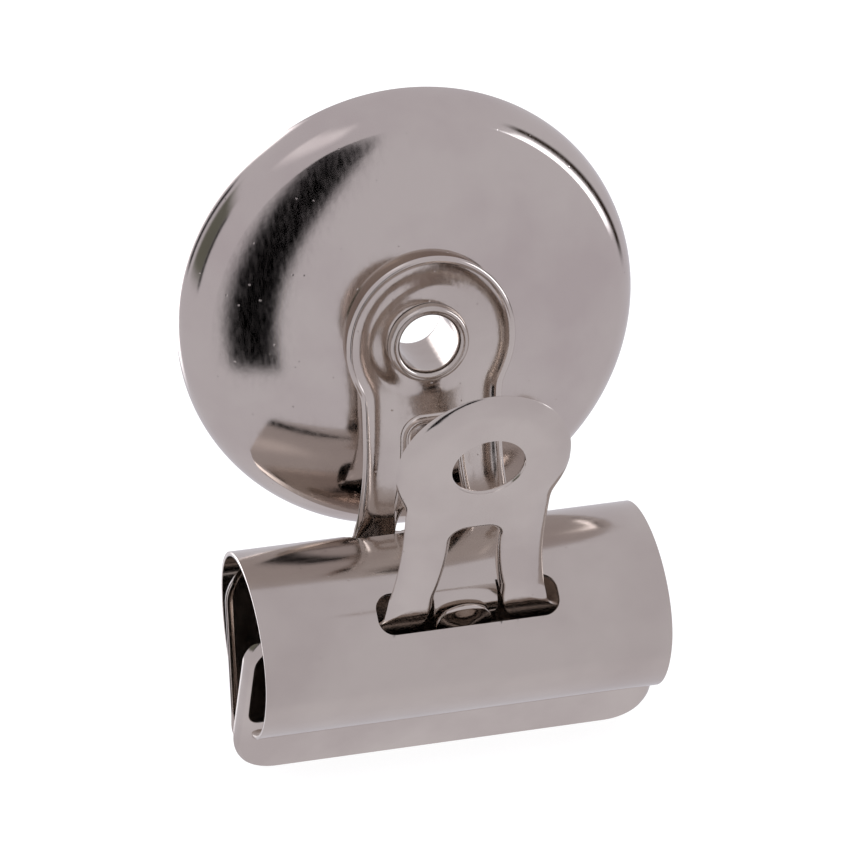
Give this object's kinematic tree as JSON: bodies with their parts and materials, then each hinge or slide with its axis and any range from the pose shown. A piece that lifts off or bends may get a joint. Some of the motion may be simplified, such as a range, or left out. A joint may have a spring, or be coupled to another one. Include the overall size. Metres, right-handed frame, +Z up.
{
  "type": "magnetic bulldog clip",
  "caption": "Magnetic bulldog clip: rolled spring body, stamped levers with gripping jaws, and a round cup magnet riveted to the rear lever.",
  "frame": {"origin": "middle of the ring magnet's flat back face, on the eyelet's axis", "axes": "+X along the jaws, +Y out of the magnet's back towards the steel surface it holds to, +Z up from the jaws to the disc"},
  "size_m": [0.036, 0.0254, 0.0514],
  "materials": {
    "spring_nickel": "bright nickel plate on spring steel",
    "lever_nickel": "bright nickel plate on stamped steel",
    "cup_nickel": "nickel plate on drawn steel, faint pits",
    "eyelet_nickel": "nickel plate on a rolled eyelet",
    "ferrite": "sintered ferrite, matte"
  },
  "bodies": {
    "magnet_and_rear_lever": {"rear_lever": "lever_nickel", "magnet_cup": "cup_nickel", "ring_magnet": "ferrite", "eyelet": "eyelet_nickel"},
    "spring": {"spring_body": "spring_nickel"},
    "front": {"front_lever": "lever_nickel"}
  },
  "joints": [
    {"name": "rear_fulcrum", "type": "hinge", "parent": "magnet_and_rear_lever", "child": "spring", "pos_m": [0, -0.00635, -0.0156], "axis": [-1, 0, 0], "range_deg": [0, 20], "stiffness_Nm_per_rad": 0.05, "springref_deg": -57.3, "deforming": ["spring_body"]},
    {"name": "front_fulcrum", "type": "hinge", "parent": "spring", "child": "front", "pos_m": [0, -0.01734, -0.01774], "axis": [-1, 0, 0], "range_deg": [0, 20], "stiffness_Nm_per_rad": 0.05, "springref_deg": -57.3, "deforming": ["spring_body"]}
  ],
  "couplings": [
    {"joint": "front_fulcrum", "follows": "rear_fulcrum", "ratio": 1}
  ]
}
